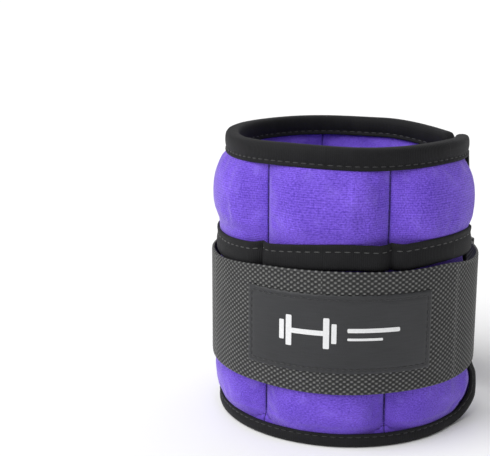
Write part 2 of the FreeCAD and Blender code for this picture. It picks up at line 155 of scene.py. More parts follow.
def cut_cloth(name, columns, rows, place, size, material):
    """A grid of cloth whose points go where place(u, v) says, u and v from 0 to 1.
    Its UV map holds the flat cloth's own millimetres."""
    bpy.ops.object.select_all(action="DESELECT")
    bpy.ops.mesh.primitive_grid_add(
        x_subdivisions=columns, y_subdivisions=rows, size=1, location=(0.5, 0.5, 0)
    )
    piece = bpy.context.object
    piece.name = piece.data.name = name
    bpy.ops.object.transform_apply(location=True, rotation=True, scale=True)
    flat = points_of(piece)
    set_points(piece, place(flat[:, 0], flat[:, 1]))
    set_uv(piece, uv_of(piece) * np.array(size))
    piece.data.materials.append(material)
    bpy.ops.object.shade_smooth()
    return piece


def close_tube(piece):
    """Joins the first and last rows of a grid rolled into a tube, and caps its ends."""
    in_edit(
        piece,
        (bpy.ops.mesh.remove_doubles, {"threshold": 1e-6}),
        (bpy.ops.mesh.fill_holes, {"sides": 0}),
        (bpy.ops.mesh.normals_make_consistent, {"inside": False}),
    )
    only(piece)
    bpy.ops.object.shade_smooth_by_angle(angle=CREASE_ANGLE)


def join_into(piece, others):
    only(piece)
    for other in others:
        other.select_set(True)
    bpy.ops.object.join()
    return piece


# ---------------------------------------------------------------- finishes

class Wire:
    """A node's output, so that shader sums are written as sums."""

    def __init__(self, socket):
        self.socket = socket

    def sum(self, operation, *terms):
        return add_node(
            self.socket.id_data, "ShaderNodeMath", {"operation": operation}, dict(enumerate(terms))
        )

    def __add__(self, other):
        return self.sum("ADD", self, other)

    def __sub__(self, other):
        return self.sum("SUBTRACT", self, other)

    def __mul__(self, other):
        return self.sum("MULTIPLY", self, other)

    def __pow__(self, other):
        return self.sum("POWER", self, other)

    def __rsub__(self, other):
        return self.sum("SUBTRACT", other, self)

    __radd__ = __add__
    __rmul__ = __mul__

    def cos(self):
        return self.sum("COSINE", self)

    def clamp(self):
        return self.sum("MINIMUM", self.sum("MAXIMUM", self, 0.0), 1.0)


def add_node(tree, kind, settings=None, inputs=None, output=0):
    node = tree.nodes.new(kind)
    for key, value in (settings or {}).items():
        setattr(node, key, value)
    for key, value in (inputs or {}).items():
        socket = node.inputs[key]
        if isinstance(value, Wire):
            tree.links.new(value.socket, socket)
        else:
            socket.default_value = value
    return Wire(node.outputs[output])


class Finish:
    """One material: a Principled shader, with the cloth's own millimetres to draw on."""

    def __init__(self, name, constants, object_space=False):
        self.material = bpy.data.materials.new(name)
        self.material.use_nodes = True
        self.tree = self.material.node_tree
        self.shader = self.tree.nodes["Principled BSDF"]
        for key, value in constants.items():
            self.shader.inputs[key].default_value = value
        coordinates = "Object" if object_space else "UV"
        self.place = self.node("ShaderNodeTexCoord", output=coordinates)
        if object_space:
            self.place = self.node(
                "ShaderNodeVectorMath", {"operation": "SCALE"}, {0: self.place, "Scale": 1 / MM}
            )
        split = self.node("ShaderNodeSeparateXYZ", None, {0: self.place})
        self.u = split
        self.v = Wire(split.socket.node.outputs[1])

    def node(self, kind, settings=None, inputs=None, output=0):
        return add_node(self.tree, kind, settings, inputs, output)

    def noise(self, scale, detail=2.0, roughness=0.5, stretch=None):
        place = self.place
        if stretch:
            place = self.node(
                "ShaderNodeVectorMath", {"operation": "MULTIPLY"}, {0: place, 1: stretch}
            )
        return self.node(
            "ShaderNodeTexNoise",
            None,
            {"Vector": place, "Scale": scale, "Detail": detail, "Roughness": roughness},
        )

    def mix(self, share, first, second):
        """Colour between two colours or colour wires."""
        node = self.tree.nodes.new("ShaderNodeMix")
        node.data_type = "RGBA"
        sockets = {"Factor_Float": share, "A_Color": first, "B_Color": second}
        for socket in node.inputs:
            value = sockets.get(socket.identifier)
            if isinstance(value, Wire):
                self.tree.links.new(value.socket, socket)
            elif value is not None:
                socket.default_value = value
        return Wire(next(s for s in node.outputs if s.identifier == "Result_Color"))

    def feed(self, name, value):
        self.tree.links.new(value.socket, self.shader.inputs[name])

    def bump(self, height, distance, strength):
        inputs = {"Height": height, "Distance": distance * MM, "Strength": strength}
        return self.node("ShaderNodeBump", None, inputs)


def rgb(red, green, blue):
    return (red, green, blue, 1.0)


def ribs(coordinate, pitch):
    """Even ribs from 0 to 1, one to a pitch."""
    return (coordinate * (2 * math.pi / pitch)).cos() * 0.5 + 0.5


def jersey():
    """Neoprene faced with a fine purple knit."""
    finish = Finish(
        "purple_jersey",
        {
            "Sheen Weight": 0.60,
            "Sheen Roughness": 0.34,
            "Sheen Tint": rgb(0.72, 0.62, 1.0),
            "Specular IOR Level": 0.28,
        },
    )
    wales = ribs(finish.u, 0.62)
    courses = ribs(finish.v, 0.86)
    speckle = finish.noise(1.35, 3.0, 0.62)
    fuzz = finish.noise(3.4, 2.0, 0.6)
    cloud = finish.noise(0.06, 2.0, 0.5)
    worn = finish.noise(0.16, 3.0, 0.55, (1.0, 0.6, 1.0))
    tone = (speckle - 0.5) * 2.1 + (courses - 0.5) * 0.25 + (cloud - 0.5) * 0.7 + 0.46
    colour = finish.mix(tone.clamp(), rgb(0.070, 0.025, 0.380), rgb(0.245, 0.128, 0.830))
    # The worn noise lays pale lavender patches: partly wear of the knit, partly a painted sheen highlight.
    pale = ((worn - 0.54) * 3.0).clamp() * 0.35
    colour = finish.mix(pale, colour, rgb(0.32, 0.22, 0.86))
    finish.feed("Base Color", colour)
    finish.feed("Roughness", speckle * 0.25 + 0.60)
    knit = wales * 0.25 + courses * 0.45 + speckle * 1.1 + fuzz * 0.5
    finish.feed("Normal", finish.bump(knit, 0.16, 0.85))
    return finish.material


def edge_tape():
    """Black binding tape, fine ribs across its length."""
    finish = Finish(
        "black_edge_tape",
        {"Sheen Weight": 0.05, "Sheen Roughness": 0.35, "Sheen Tint": rgb(0.8, 0.8, 0.85),
         "Specular IOR Level": 0.20},
    )
    rib = ribs(finish.u, 0.78)
    threads = ribs(finish.v, 0.5)
    lint = finish.noise(1.6, 3.0, 0.65)
    cloud = finish.noise(0.12, 3.0, 0.55)
    tone = rib * 0.35 + (lint - 0.5) * 1.1 + (cloud - 0.5) * 0.9 + 0.30
    black, worn = rgb(0.0035, 0.0035, 0.004), rgb(0.012, 0.012, 0.0135)
    finish.feed("Base Color", finish.mix(tone.clamp(), black, worn))
    finish.feed("Roughness", lint * 0.2 + 0.60)
    finish.feed("Normal", finish.bump(rib * 0.8 + threads * 0.2 + lint * 0.7, 0.12, 0.8))
    return finish.material


def woven(name, dark, light, pitch, rise, shine):
    """Webbing: staggered floats over a dark ground, their tops painted lighter as highlights and the hollows
    between them painted darker as shade.
    """
    finish = Finish(
        name,
        {"Sheen Weight": 0.05, "Sheen Roughness": 0.4, "Specular IOR Level": shine},
    )
    across = (finish.u * (math.pi / (2 * pitch))).cos()
    along = (finish.v * (math.pi / rise)).cos()
    even = across * across * along * along
    odd = (1.0 - across * across) * (1.0 - along * along)
    floats = even + odd
    slope = finish.u * (2 * math.pi * 3 / pitch) + finish.v * (2 * math.pi / rise)
    strands = slope.cos() * 0.5 + 0.5
    lint = finish.noise(1.1, 3.0, 0.6)
    cloud = finish.noise(0.09, 2.0, 0.5)
    # Painted light: the float tops are lighter as highlights, and the hollows between them darker as shade.
    tone = floats ** 2.4 * 1.5 + (lint - 0.5) * 0.6 + (cloud - 0.5) * 0.3 - 0.22
    finish.feed("Base Color", finish.mix(tone.clamp(), dark, light))
    finish.feed("Roughness", 0.62 - floats * 0.16)
    finish.feed("Normal", finish.bump(floats * 0.6 + strands * 0.3 + lint * 0.25, 0.15, 0.6))
    return finish.material


def thread(name, dark, light, shine=0.35):
    """Sewing thread, twisted."""
    finish = Finish(name, {"Specular IOR Level": shine, "Sheen Weight": 0.2}, object_space=True)
    lint = finish.noise(2.4, 2.0, 0.6)
    finish.feed("Base Color", finish.mix(lint, dark, light))
    finish.feed("Roughness", lint * 0.25 + 0.45)
    finish.feed("Normal", finish.bump(lint, 0.06, 0.6))
    return finish.material


def satin():
    """Label: tightly woven satin, faint horizontal threads."""
    finish = Finish(
        "label_satin",
        {"Sheen Weight": 0.25, "Sheen Roughness": 0.35, "Specular IOR Level": 0.38},
    )
    weft = ribs(finish.v, 0.42)
    warp = ribs(finish.u, 0.55)
    streaks = finish.noise(0.5, 3.0, 0.6, (0.25, 3.0, 1.0))
    grain = finish.noise(2.2, 2.0, 0.6)
    cloud = finish.noise(0.035, 2.0, 0.5)
    tone = (streaks - 0.5) * 0.8 + (grain - 0.5) * 0.9 + (cloud - 0.5) * 0.8 + weft * 0.12 + 0.44
    dark, light = rgb(0.016, 0.0165, 0.018), rgb(0.036, 0.037, 0.040)
    finish.feed("Base Color", finish.mix(tone.clamp(), dark, light))
    finish.feed("Roughness", grain * 0.2 + 0.42)
    finish.feed("Normal", finish.bump(weft * 0.5 + warp * 0.3 + grain * 0.5, 0.05, 0.6))
    return finish.material


def print_white():
    """Pale print on the label, a little worn."""
    finish = Finish("label_print", {"Specular IOR Level": 0.4}, object_space=True)
    wear = finish.noise(1.6, 3.0, 0.65)
    finish.feed("Base Color", finish.mix(wear, rgb(0.62, 0.63, 0.64), rgb(0.88, 0.88, 0.88)))
    finish.feed("Roughness", wear * 0.2 + 0.4)
    finish.feed("Normal", finish.bump(wear, 0.03, 0.5))
    return finish.material


def nickel():
    """Polished wire with faint drawing lines and handling marks."""
    finish = Finish("nickel_wire", {"Metallic": 1.0}, object_space=True)
    drawn = finish.noise(0.9, 3.0, 0.6, (1.0, 1.0, 0.08))
    marks = finish.noise(0.22, 3.0, 0.6)
    finish.feed("Base Color", finish.mix(marks, rgb(0.74, 0.71, 0.66), rgb(0.90, 0.88, 0.84)))
    finish.feed("Roughness", drawn * 0.10 + marks * 0.08 + 0.06)
    finish.feed("Normal", finish.bump(drawn, 0.02, 0.25))
    return finish.material


def touch_tape(name, dark, light, pitch, depth):
    """Closure patch, rows of fine hooks or brushed loops."""
    finish = Finish(name, {"Sheen Weight": 0.5, "Sheen Roughness": 0.5, "Specular IOR Level": 0.2})
    rows, columns = ribs(finish.u, pitch), ribs(finish.v, pitch)
    lint = finish.noise(2.0, 4.0, 0.7)
    nap = rows * columns * 0.8 + lint * 0.8
    finish.feed("Base Color", finish.mix((nap * 0.8 - 0.1).clamp(), dark, light))
    finish.feed("Roughness", lint * 0.2 + 0.7)
    finish.feed("Normal", finish.bump(nap, depth, 0.9))
    return finish.material


def bag_cloth():
    """Plain woven bag cloth that holds the iron."""
    finish = Finish("bag_cloth", {"Specular IOR Level": 0.3, "Sheen Weight": 0.2}, object_space=True)
    turn = 2 * math.pi / 0.9
    warp = (finish.u * turn).cos() * (finish.v * turn).cos() * 0.5 + 0.5
    creases = finish.noise(0.11, 3.0, 0.6)
    lint = finish.noise(1.3, 3.0, 0.6)
    tone = lint * 0.6 + creases * 0.5
    finish.feed("Base Color", finish.mix(tone.clamp(), rgb(0.035, 0.035, 0.04), rgb(0.09, 0.09, 0.1)))
    finish.feed("Roughness", lint * 0.2 + 0.7)
    finish.feed("Normal", finish.bump(warp * 0.5 + creases * 1.5 + lint * 0.4, 0.2, 0.7))
    return finish.material


def iron():
    """Iron sand: dark grains with a few bright faces."""
    finish = Finish("iron_sand", {"Specular IOR Level": 0.5}, object_space=True)
    grains = finish.node("ShaderNodeTexVoronoi", None, {"Vector": finish.place, "Scale": 1.5})
    lint = finish.noise(0.7, 3.0, 0.6)
    finish.feed("Base Color", finish.mix(lint, rgb(0.03, 0.028, 0.026), rgb(0.13, 0.12, 0.11)))
    finish.feed("Metallic", (grains * 0.6 + 0.2).clamp())
    finish.feed("Roughness", grains * 0.4 + 0.45)
    finish.feed("Normal", finish.bump(grains, 0.4, 0.9))
    return finish.material


def pale_floor():
    finish = Finish("pale_floor", {"Specular IOR Level": 0.1}, object_space=True)
    cloud = finish.noise(0.01, 2.0, 0.5)
    finish.feed("Base Color", finish.mix(cloud, rgb(0.91, 0.91, 0.91), rgb(0.94, 0.94, 0.94)))
    finish.feed("Roughness", cloud * 0.1 + 0.85)
    return finish.material


JERSEY = jersey()
TAPE = edge_tape()
WEB_PITCH, WEB_RISE = 1.4, 2.05
HOLD_PITCH, HOLD_RISE = 1.15, 1.7
# The light colour of each webbing is the painted highlight on its float tops.
WEBBING = woven("grey_webbing", rgb(0.007, 0.0072, 0.0075), rgb(0.150, 0.151, 0.146),
                WEB_PITCH, WEB_RISE, 0.5)
HOLDING = woven("black_holding_tape", rgb(0.008, 0.008, 0.009), rgb(0.045, 0.046, 0.046),
                HOLD_PITCH, HOLD_RISE, 0.35)
TAPE_THREAD = thread("tape_thread", rgb(0.012, 0.012, 0.013), rgb(0.040, 0.040, 0.042))
HEM_THREAD = thread("hem_thread", rgb(0.035, 0.036, 0.036), rgb(0.085, 0.086, 0.084))
SEAM_THREAD = thread("seam_thread", rgb(0.018, 0.008, 0.070), rgb(0.045, 0.020, 0.170), 0.2)
LABEL = satin()
LABEL_THREAD = thread("label_thread", rgb(0.012, 0.012, 0.013), rgb(0.040, 0.040, 0.042))
PRINT = print_white()
NICKEL = nickel()
HOOKS = touch_tape("hook_tape", rgb(0.008, 0.008, 0.009), rgb(0.040, 0.040, 0.042), 1.1, 0.30)
LOOPS = touch_tape("loop_tape", rgb(0.010, 0.010, 0.011), rgb(0.050, 0.050, 0.052), 2.3, 0.45)
BAG = bag_cloth()
IRON = iron()


# ---------------------------------------------------------------- fold lines, and hiding the CAD parts a piece replaces

def fold_line(angle, radius, reach):
    """Start and end of the stretch that bends about an upright fold, low angle first."""
    centre = around(angle, radius, 0.0)
    ahead = np.array((math.cos(math.radians(angle)), math.sin(math.radians(angle)), 0.0))
    return tuple(centre - ahead * reach * MM), tuple(centre + ahead * reach * MM)


def bend_across(piece, pair, reach):
    """Bakes the piece's placement into its points; the fold line about a pocket seam, a reach on each side of it,
    is worked out but not used.
    """
    start, end = fold_line(SEAMS[pair], FOLD_RADIUS, reach)
    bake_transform(piece)


def stands_for(piece, slot, *nodes):
    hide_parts(*nodes)
    return piece


# ---------------------------------------------------------------- stitches

def stitch_model(length, width, height):
    bpy.ops.object.select_all(action="DESELECT")
    bpy.ops.mesh.primitive_uv_sphere_add(segments=8, ring_count=5, radius=0.5 * MM)
    stitch = bpy.context.object
    stitch.rotation_euler = (0.0, math.radians(90), 0.0)
    bpy.ops.object.transform_apply(location=False, rotation=True, scale=False)
    stitch.scale = (length, width, height)
    bpy.ops.object.transform_apply(location=False, rotation=False, scale=True)
    bpy.ops.object.shade_smooth()
    return stitch


def sew(line, outward, pitch, length, width, height, material):
    """Stitches along a line of points, each lying on the cloth whose outward side is given.
    The stitch is modelled once; the copies become one mesh."""
    steps = np.linalg.norm(np.diff(line, axis=0), axis=1)
    run = np.concatenate(([0.0], np.cumsum(steps)))
    count = max(1, int(run[-1] / (pitch * MM)))
    model = stitch_model(length, width, height)
    copies = []
    for number in range(count):
        at = run[-1] * (number + 0.5) / count
        centre = np.array([np.interp(at, run, line[:, axis]) for axis in range(3)])
        index = min(np.searchsorted(run, at), len(line) - 1)
        ahead = Vector(line[index] - line[index - 1]).normalized()
        up = Vector([np.interp(at, run, outward[:, axis]) for axis in range(3)])
        side = up.cross(ahead).normalized()
        up = ahead.cross(side)
        turn = Matrix((ahead, side, up)).transposed().to_4x4()
        copy = bpy.data.objects.new("stitch", model.data.copy())
        copy.data.transform(Matrix.Translation(centre) @ turn)
        bpy.context.scene.collection.objects.link(copy)
        copies.append(copy)
    bpy.data.objects.remove(model)
    row = join_into(copies[0], copies[1:])
    row.data.materials.append(material)
    return row


def outward_at(angle):
    turn = np.radians(angle)
    return np.stack((np.sin(turn), -np.cos(turn), np.zeros_like(turn)), -1)


# ---------------------------------------------------------------- shape of the pad

def crown(distance, width):
    """Rise of a stuffed cloth from a seam, level from its width onwards."""
    share = 1 - np.clip(distance / width, 0, 1)
    return 1 - share * share


# Radius of each end's cut corner, how far the end leans back at its foot and up to what height,
# how far the cloth runs flat under the end's tape, and where the lining begins to curl.
CORNER = {"a": 21.0, "e": 14.0}
SLANT = {"a": 2.0, "e": 0.0}
SLANT_TOP = 75.0
PAD_MARGIN, SEAM_MARGIN = 2.4, 0.12
UNDER_TAPE, LINING_CURL = 4.8, 71.0
CROWN_WIDTH = 19.0


def near_end(angle, height):
    """How far the loose corner of pocket a, and a little that of pocket e, curls outwards."""
    lift = np.interp(height, [0, 8, 18, 26, 40], [0.8, 1.0, 0.9, 0.45, 0.0])
    return 5.8 * ease((angle - 56) / 26) * lift + 1.6 * ease((END_E + 23 - angle) / 23) * lift


def slant(pocket, height):
    """Pocket a's end leans back towards its foot."""
    return SLANT[pocket] * (1 - ease(height / SLANT_TOP))


def corner_inset(pocket, height):
    """The pad's lower end corners are cut round."""
    radius = CORNER[pocket]
    below = np.clip(radius - height, 0, radius)
    return radius - np.sqrt(radius * radius - below * below) + slant(pocket, height)


def rim_middle(height):
    """Middle radius of the tape round the pad's edge."""
    return np.interp(height, [0, 6, 30, 100, 114, 122.5], [51.5, 51.5, 49.7, 49.4, 48.5, 48.5])


def rim_wave(angle):
    """Slight rise and fall of the top rim."""
    turn = np.radians(angle)
    ends = -0.3 * ease((angle - 50) / 25) - 3.9 * ease((END_E + 48 - angle) / 48)
    front = -0.7 * np.exp(-((angle - 2) / 34) ** 2)
    return front - 0.75 + 0.35 * np.cos(3 * turn + 0.6) + 0.20 * np.cos(5 * turn + 1.9) + ends


def stand_off(angle, height):
    """Pocket e's loose end stands a little off the leg, most at the rim."""
    return 1.0 * ease((END_E + 34 - angle) / 34) * ease((height - 30) / 80)


def pocket_place(pocket, profile, floor, facing):
    """Place function of one pocket's cloth: profile gives its full radius by height, floor the
    radius at its seams, and facing is 1 for the outer cloth and -1 for the lining."""
    low, high = POCKETS[pocket]
    heights, radii = zip(*profile)

    def place(u, v):
        height = np.interp(v, np.linspace(0, 1, len(heights)), heights)
        inset = 0.0
        if pocket in CORNER:
            inset = np.degrees((PAD_MARGIN + corner_inset(pocket, height)) / EDGE_ARC)
        first = low + (inset if pocket == "e" else SEAM_MARGIN)
        last = high - (inset if pocket == "a" else SEAM_MARGIN)
        lean = u - 0.06 * np.sin(2 * np.pi * u)
        angle = first + (last - first) * lean
        full = np.interp(height, heights, radii)
        under_e, under_a = UNDER_TAPE * (pocket == "e"), UNDER_TAPE * (pocket == "a")
        steep_e, steep_a = 1.0 + (pocket == "e"), 1.0 + (pocket == "a")
        from_first = ((angle - first) * PER_DEGREE * PAD_ARC - under_e) * steep_e
        from_last = ((last - angle) * PER_DEGREE * PAD_ARC - under_a) * steep_a
        gap = np.maximum(np.minimum(from_first, from_last), 0.0)
        at_a, at_e = ease((angle - high + 14) / 12), ease((low + 14 - angle) / 12)
        at_end = (pocket == "a") * at_a + (pocket == "e") * at_e
        base = floor(full, height) * (1 - at_end) + (rim_middle(height) + facing * 1.5) * at_end
        radius = base + (full - base) * crown(gap, CROWN_WIDTH)
        curl = near_end(angle, height)
        if pocket == "a" and facing < 0:
            curl = curl * ease((angle - LINING_CURL) / 6)
        curl = curl + stand_off(angle, height)
        return around(angle, radius + curl, height + rim_wave(angle) * ease((height - 100) / 15))

    return place


# Full radius by height of the flap, the lower panel and the lining.
OUTER_UPPER = [(77.5, 54.0), (81, 54.2), (84.2, 54.4), (86.5, 55.2), (90, 56.0), (94, 56.35), (98, 56.3),
               (102, 55.9), (106, 55.0), (109.5, 53.7), (112.5, 52.0), (115, 50.6), (120.2, 50.3)]
OUTER_LOWER = [(2.6, 53.2), (5.2, 53.4), (7, 54.0), (9.5, 54.8), (13, 55.4), (17, 55.7), (21, 55.7),
               (26, 55.6), (36, 55.6), (48, 55.6), (60, 55.5), (68, 53.4), (73, 52.1), (80.5, 51.9)]
LEG_SIDE = [(2.6, 50.1), (5.8, 49.8), (9, 47.0), (13, 44.7), (20, 43.8), (35, 43.6), (60, 43.6), (85, 43.6),
            (99, 43.8), (106, 44.6), (110, 45.6), (114, 46.9), (120.2, 47.1)]


FILL_FRAMES = 20
PAD_COLUMNS = 46


def stuff(piece, free, most):
    """Fills a piece of cloth: pressure swells it between its sewn edges, no further than most."""
    rest = points_of(piece)
    pinned = piece.vertex_groups.new(name="sewn")
    for index, share in enumerate(free):
        pinned.add([index], float(1 - share), "REPLACE")
    only(piece)
    modifier = piece.modifiers.new("Cloth", "CLOTH")
    cloth = modifier.settings
    cloth.quality = 5
    cloth.mass = 0.05
    cloth.tension_stiffness = cloth.compression_stiffness = 12.0
    cloth.shear_stiffness = 4.0
    cloth.bending_stiffness = 0.4
    cloth.use_pressure = True
    cloth.uniform_pressure_force = 4.0
    cloth.shrink_min = -0.02
    cloth.effector_weights.gravity = 0.0
    cloth.vertex_group_mass = "sewn"
    modifier.point_cache.frame_start, modifier.point_cache.frame_end = 1, FILL_FRAMES
    for number in range(1, FILL_FRAMES + 1):
        bpy.context.scene.frame_set(number)
    bpy.ops.object.modifier_apply(modifier=modifier.name)
    bpy.context.scene.frame_set(1)
    moved = points_of(piece) - rest
    length = np.maximum(np.linalg.norm(moved, axis=1, keepdims=True), 1e-9)
    limit = most * MM * np.clip(np.asarray(free), 0, 1)[:, None]
    set_points(piece, rest + moved / length * (limit * np.tanh(length / np.maximum(limit, 1e-9))))
    piece.vertex_groups.clear()


def pad_cloth(name, pocket, profile, floor, facing, rows, most, sewn, node):
    """One pocket's stuffed cloth; it swells at most so far, and only between the sewn heights."""
    place = pocket_place(pocket, profile, floor, facing)
    arc = (POCKETS[pocket][1] - POCKETS[pocket][0]) * PER_DEGREE * PAD_ARC
    heights = [h for h, _ in profile]

    def turned(u, v):
        return place(u, v) if facing > 0 else place(1 - u, v)

    piece = cut_cloth(name, PAD_COLUMNS, rows, turned, (arc, heights[-1] - heights[0]), JERSEY)
    points = points_of(piece) / MM
    flat = np.degrees(np.arctan2(points[:, 0], -(points[:, 1] - AXIS_Y)))
    height = points[:, 2]
    low, high = POCKETS[pocket]
    middle = (low + high) / 2
    away = np.abs((flat - middle + 180) % 360 - 180)
    edge = ((high - low) / 2 - away) * PER_DEGREE * PAD_ARC
    free = ease((edge - 0.6) / 3.0) * ease((height - sewn[0]) / 5.0) * ease((sewn[1] - height) / 5.0)
    stuff(piece, free, most)
    apply_modifier(piece, "SOLIDIFY", thickness=1.5 * MM, offset=-1.0)
    apply_modifier(piece, "SUBSURF", levels=1, render_levels=1)
    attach(piece, f"pocket_{pocket}")
    return stands_for(piece, "purple_jersey", node)


def sunk(depth):
    """Radius of the outer cloth at its seams."""
    return lambda full, z: np.minimum(depth, full - 0.5)


def leg_sunk(full, z):
    return np.maximum(47.6, full + 0.4)


for pocket in POCKETS:
    pad_cloth(f"upper_pad_{pocket}", pocket, OUTER_UPPER, sunk(49.4), 1,
              34, 1.1, (84.0, 115.0), f"upper_panel_{pocket}")
    pad_cloth(f"lower_pad_{pocket}", pocket, OUTER_LOWER, sunk(50.1), 1,
              40, 0.9, (5.0, 26.0), f"lower_panel_{pocket}")
    pad_cloth(f"leg_lining_{pocket}", pocket, LEG_SIDE, leg_sunk, -1,
              44, 1.2, (6.0, 114.0), f"lining_{pocket}")


# ---------------------------------------------------------------- bindings

# Section of a rolled tape, as shares of its half thickness and of its width: the lip below
# the stitch, the stitch's groove, the roll over the edge, and the same again on the leg side.
ROLL = [(0.86, 1.00), (1.02, 0.985), (1.07, 0.93), (1.04, 0.87), (0.90, 0.80), (0.97, 0.73),
        (1.05, 0.62), (1.09, 0.47), (1.07, 0.30), (0.98, 0.15), (0.78, 0.05), (0.42, 0.0)]
HOLLOW = [(0.66, 1.00), (0.66, 0.60), (0.60, 0.30), (0.30, 0.15)]
ROLL_SECTION = np.array(
    ROLL + [(0.0, -0.012)] + [(-o, d) for o, d in reversed(ROLL)]
    + [(-o, d) for o, d in HOLLOW] + [(o, d) for o, d in reversed(HOLLOW)] + [ROLL[0]]
)


TAPE_WIDE, TAPE_STEP, TAPE_STITCH = 24.0, 1.15, 3.3


def loose(angle, height):
    """How far the pad's ends stand off the round."""
    return near_end(angle, height) + stand_off(angle, height)


def roll_tape(name, along):
    """A tape rolled over the pad's edge. along(t) gives, for t from 0 to 1, the edge's angle and
    height, the direction into the pad (round, up), the middle radius, half thickness and width."""
    sample = np.linspace(0, 1, 400)
    angle, height, *_ = along(sample)
    steps = np.hypot(np.diff(angle) * PER_DEGREE * BINDING_ARC, np.diff(height))
    length = steps.sum()
    columns = int(length / TAPE_STEP)
    rows = len(ROLL_SECTION) - 1
    run = np.concatenate(([0.0], np.cumsum(steps))) / length

    def at(u, v):
        t = np.interp(u, run, sample)
        angle, height, inward, middle, half, width = along(t)
        offset = np.interp(v * rows, np.arange(rows + 1), ROLL_SECTION[:, 0])
        depth = np.interp(v * rows, np.arange(rows + 1), ROLL_SECTION[:, 1])
        pucker = 0.045 * np.cos(2 * np.pi * u * length / TAPE_STITCH)
        pucker = pucker * np.exp(-((depth - 0.8) / 0.12) ** 2)
        offset = offset + np.sign(offset) * pucker
        depth = depth * width
        rounded = angle + np.degrees(inward[0] * depth / BINDING_ARC)
        radius = middle + offset * half + loose(rounded, height)
        return around(rounded, radius, height + inward[1] * depth)

    piece = cut_cloth(name, columns, rows, at, (length, TAPE_WIDE), TAPE)
    close_tube(piece)
    rows_sewn = []
    t = np.linspace(0.004, 0.996, 500)
    for side in (1, -1):
        angle, height, inward, middle, half, width = along(t)
        depth = 0.80 * width
        rounded = angle + np.degrees(inward[0] * depth / BINDING_ARC)
        radius = middle + side * 0.93 * half + loose(rounded, height)
        line = around(rounded, radius, height + inward[1] * depth)
        outward = outward_at(rounded) * side
        rows_sewn.append(sew(line, outward, TAPE_STITCH, 2.3, 0.5, 0.42, TAPE_THREAD))
    return join_into(piece, rows_sewn)


# Half thickness and width of the tape at the top rim and at the foot.
TOP_HALF, TOP_WIDE = 2.95, 8.7
FOOT_HALF, FOOT_WIDE = 2.85, 5.8


def straight_rim(low, high, top):
    """A run of the top or bottom binding between two angles."""

    def along(t):
        angle, zero = low + (high - low) * t, 0 * t
        if top:
            height = CUFF_HEIGHT + rim_wave(angle)
            return angle, height, (zero, zero - 1), RIM_ARC + zero, TOP_HALF + zero, TOP_WIDE + zero
        return angle, zero, (zero, zero + 1), BINDING_ARC + zero, FOOT_HALF + zero, FOOT_WIDE + zero

    return along


def rim_end(pocket):
    """The top binding's last stretch, whose end is turned over and rounded."""
    low, high = (MIDDLE["a"], END_A) if pocket == "a" else (MIDDLE["e"], END_E)

    def along(t):
        angle = low + (high - low) * t
        left = np.abs(high - angle) * PER_DEGREE * RIM_ARC
        nose = np.sqrt(np.clip(1 - (1 - np.clip(left / 2.6, 0, 1)) ** 2, 0.02, 1))
        fall = 3.4 * (1 - np.sqrt(np.clip(1 - (1 - np.clip(left / 3.4, 0, 1)) ** 2, 0, 1)))
        height = CUFF_HEIGHT + rim_wave(angle) - fall
        return angle, height, (0 * t, 0 * t - 1), RIM_ARC + 0 * t, TOP_HALF * nose, TOP_WIDE - fall

    return along


def end_edge(pocket):
    """The bottom binding's last stretch, round the cut corner and up the pad's end."""
    side = 1 if pocket == "a" else -1
    start, stop = (MIDDLE["a"], END_A) if pocket == "a" else (MIDDLE["e"], END_E)
    per_degree = PER_DEGREE * BINDING_ARC
    corner = CORNER[pocket]
    flat = abs(stop - start) * per_degree - corner - SLANT[pocket]
    turn = corner * math.pi / 2
    rise = 114.5 - corner
    total = flat + turn + rise

    def along(t):
        run = t * total
        bend = np.clip((run - flat) / turn, 0, 1) * math.pi / 2
        out = np.clip(run, 0, flat) + corner * np.sin(bend)
        up = corner * (1 - np.cos(bend)) + np.clip(run - flat - turn, 0, None)
        out = out + SLANT[pocket] - slant(pocket, up)
        angle = start + side * out / per_degree
        inward = (-side * np.sin(bend), np.cos(bend))
        width = FOOT_WIDE + 1.2 * np.sin(bend)
        return angle, up, inward, rim_middle(up), FOOT_HALF + 0.1 * np.sin(bend), width

    return along


for pair, (lower, upper) in PAIRS.items():
    for top in (True, False):
        label = "top" if top else "bottom"
        along = straight_rim(MIDDLE[lower], MIDDLE[upper], top)
        piece = roll_tape(f"{label}_binding_{pair}", along)
        nodes = [f"{label}_binding_{lower}", f"{label}_binding_{upper}"]
        stands_for(piece, "black_edge_tape", *nodes)
        bend_across(piece, pair, 5.0)

for pocket in ("a", "e"):
    rim = roll_tape(f"top_binding_end_{pocket}", rim_end(pocket))
    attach(rim, f"pocket_{pocket}")
    stands_for(rim, "black_edge_tape", f"top_binding_{pocket}")
    edge = roll_tape(f"end_binding_loop_{pocket}", end_edge(pocket))
    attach(edge, f"pocket_{pocket}")
    stands_for(edge, "black_edge_tape", f"end_binding_{pocket}", f"bottom_binding_{pocket}")


# ---------------------------------------------------------------- hem band of the flap

def hem_sag(angle):
    """The flap hangs lower round the left side than at the front."""
    at_back = 1 - 0.7 * ease((-120 - angle) / 60)
    return 4.4 * ease((8 - angle) / 75) * at_back + 0.9 * np.exp(-((angle - 20) / 14) ** 2)


HEM_SECTION = np.array([
    (54.35, 84.6), (54.9, 84.75), (55.25, 84.4), (55.3, 83.6), (55.15, 82.6), (54.95, 81.8), (55.2, 81.0),
    (55.45, 79.6), (55.55, 78.0), (55.5, 76.4), (55.35, 75.1), (54.95, 74.3), (54.3, 74.0), (53.5, 74.1),
    (52.9, 74.6), (52.8, 75.6), (53.2, 76.4), (54.2, 77.2), (54.3, 80.0), (54.35, 84.6),
])


HEM_INSET, HEM_LOW, HEM_STITCH_Z = 5.0, 80, 81.8
HEM_WIDE, HEM_STEP = 26.0, 0.95


